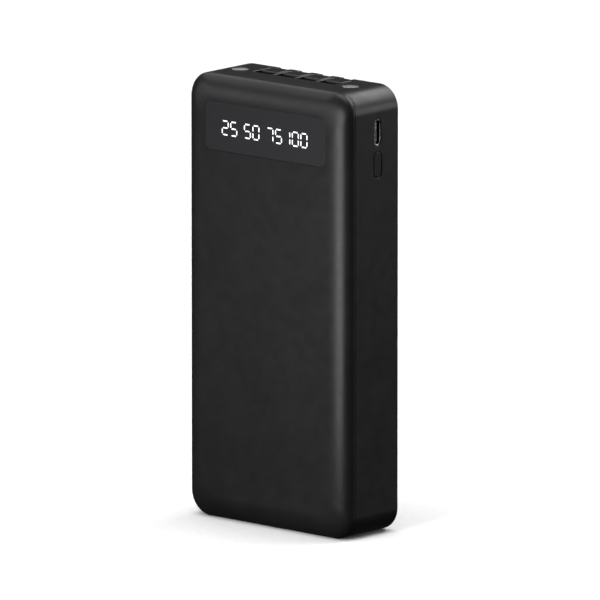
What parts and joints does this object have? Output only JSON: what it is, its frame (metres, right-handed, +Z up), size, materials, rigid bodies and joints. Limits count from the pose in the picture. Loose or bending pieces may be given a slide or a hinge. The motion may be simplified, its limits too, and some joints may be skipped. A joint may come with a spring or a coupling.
{
  "type": "power bank",
  "caption": "Slim upright battery pack in a black moulded case, with a number display window, torches, stowed lead plugs in the top, a side charging port and a power button.",
  "frame": {"origin": "middle of the bottom of the case, on the surface it stands on", "axes": "+Z up along the height, -Y towards the front with the display, +X towards the side with the port and the button"},
  "size_m": [0.073, 0.0276, 0.154],
  "materials": {
    "case_black": "fine satin-matte moulded ABS",
    "button_black": "satin moulded ABS",
    "window_smoke": "smoked acrylic with a matte hard coat",
    "digit_white": "clear light guide, lit white",
    "mask_black": "black light mask",
    "board_green": "green solder mask",
    "led_white": "LED package with phosphor",
    "ribbon_tan": "flat polyimide cable",
    "torch_board_white": "white solder mask on aluminium",
    "plug_black": "soft-touch overmould",
    "tip_steel": "nickel-plated steel",
    "lead_black": "matte elastomer jacket",
    "contact_gold": "gold-plated contacts",
    "lens_clear": "clear moulded lens",
    "reflector_silver": "bright metallised plastic",
    "port_steel": "nickel-plated steel",
    "port_black": "black contact carrier",
    "switch_black": "switch body",
    "switch_plunger_white": "switch plunger",
    "screw_steel": "zinc-plated steel",
    "inductor_grey": "ferrite",
    "chip_black": "epoxy package",
    "can_aluminium": "aluminium can",
    "cell_foil": "laminated foil pouch",
    "tab_nickel": "nickel strip",
    "tape_white": "double-sided tape",
    "foam_grey": "foam sheet",
    "wire_red": "insulated wire",
    "wire_black": "insulated wire"
  },
  "bodies": {
    "case": {"battery_wires_left": "wire_black", "battery_wires_right": "wire_red", "board_screws": "screw_steel", "capacitors": "can_aluminium", "cell_front": "cell_foil", "cell_rear": "cell_foil", "cell_tabs": "tab_nickel", "cell_tape": "tape_white", "control_chips": "chip_black", "digit_light_guide": "digit_white", "display_board": "board_green", "display_leds": "led_white", "display_mask": "mask_black", "display_ribbon": "ribbon_tan", "display_window": "window_smoke", "foam_pad": "foam_grey", "front_cover": "case_black", "lead_1": "lead_black", "lead_2": "lead_black", "lead_3": "lead_black", "lead_4": "lead_black", "lead_harness_left": "wire_black", "lead_harness_right": "wire_red", "lead_root_1": "lead_black", "lead_root_2": "lead_black", "lead_root_3": "lead_black", "lead_root_4": "lead_black", "main_board": "board_green", "main_housing": "case_black", "power_inductors": "inductor_grey", "tact_switch": "switch_black", "torch_board_left": "torch_board_white", "torch_board_right": "torch_board_white", "torch_led_left": "led_white", "torch_led_right": "led_white", "torch_lens_left": "lens_clear", "torch_lens_right": "lens_clear", "torch_reflector_left": "reflector_silver", "torch_reflector_right": "reflector_silver", "torch_wires_left": "wire_black", "torch_wires_right": "wire_red", "usb_c_port_contacts": "contact_gold", "usb_c_port_shell": "port_steel", "usb_c_port_tongue": "port_black"},
    "button": {"power_button": "button_black", "switch_plunger": "switch_plunger_white"},
    "stowed_plug_1": {"plug_grip_1": "plug_black", "plug_tip_1": "tip_steel", "plug_contacts_1": "contact_gold"},
    "stowed_plug_2": {"plug_grip_2": "plug_black", "plug_tip_2": "tip_steel", "plug_contacts_2": "contact_gold"},
    "stowed_plug_3": {"plug_grip_3": "plug_black", "plug_tip_3": "tip_steel", "plug_contacts_3": "contact_gold"},
    "stowed_plug_4": {"plug_grip_4": "plug_black", "plug_tip_4": "tip_steel", "plug_contacts_4": "contact_gold"}
  },
  "joints": [
    {"name": "button_press", "type": "slide", "parent": "case", "child": "button", "axis": [-1, 0, 0], "range_m": [0, 0.0004], "stiffness_N_per_m": 1500},
    {"name": "plug_1_lift", "type": "slide", "parent": "case", "child": "stowed_plug_1", "axis": [0, 0, 1], "range_m": [0, 0.009]},
    {"name": "plug_2_lift", "type": "slide", "parent": "case", "child": "stowed_plug_2", "axis": [0, 0, 1], "range_m": [0, 0.009]},
    {"name": "plug_3_lift", "type": "slide", "parent": "case", "child": "stowed_plug_3", "axis": [0, 0, 1], "range_m": [0, 0.009]},
    {"name": "plug_4_lift", "type": "slide", "parent": "case", "child": "stowed_plug_4", "axis": [0, 0, 1], "range_m": [0, 0.009]}
  ]
}
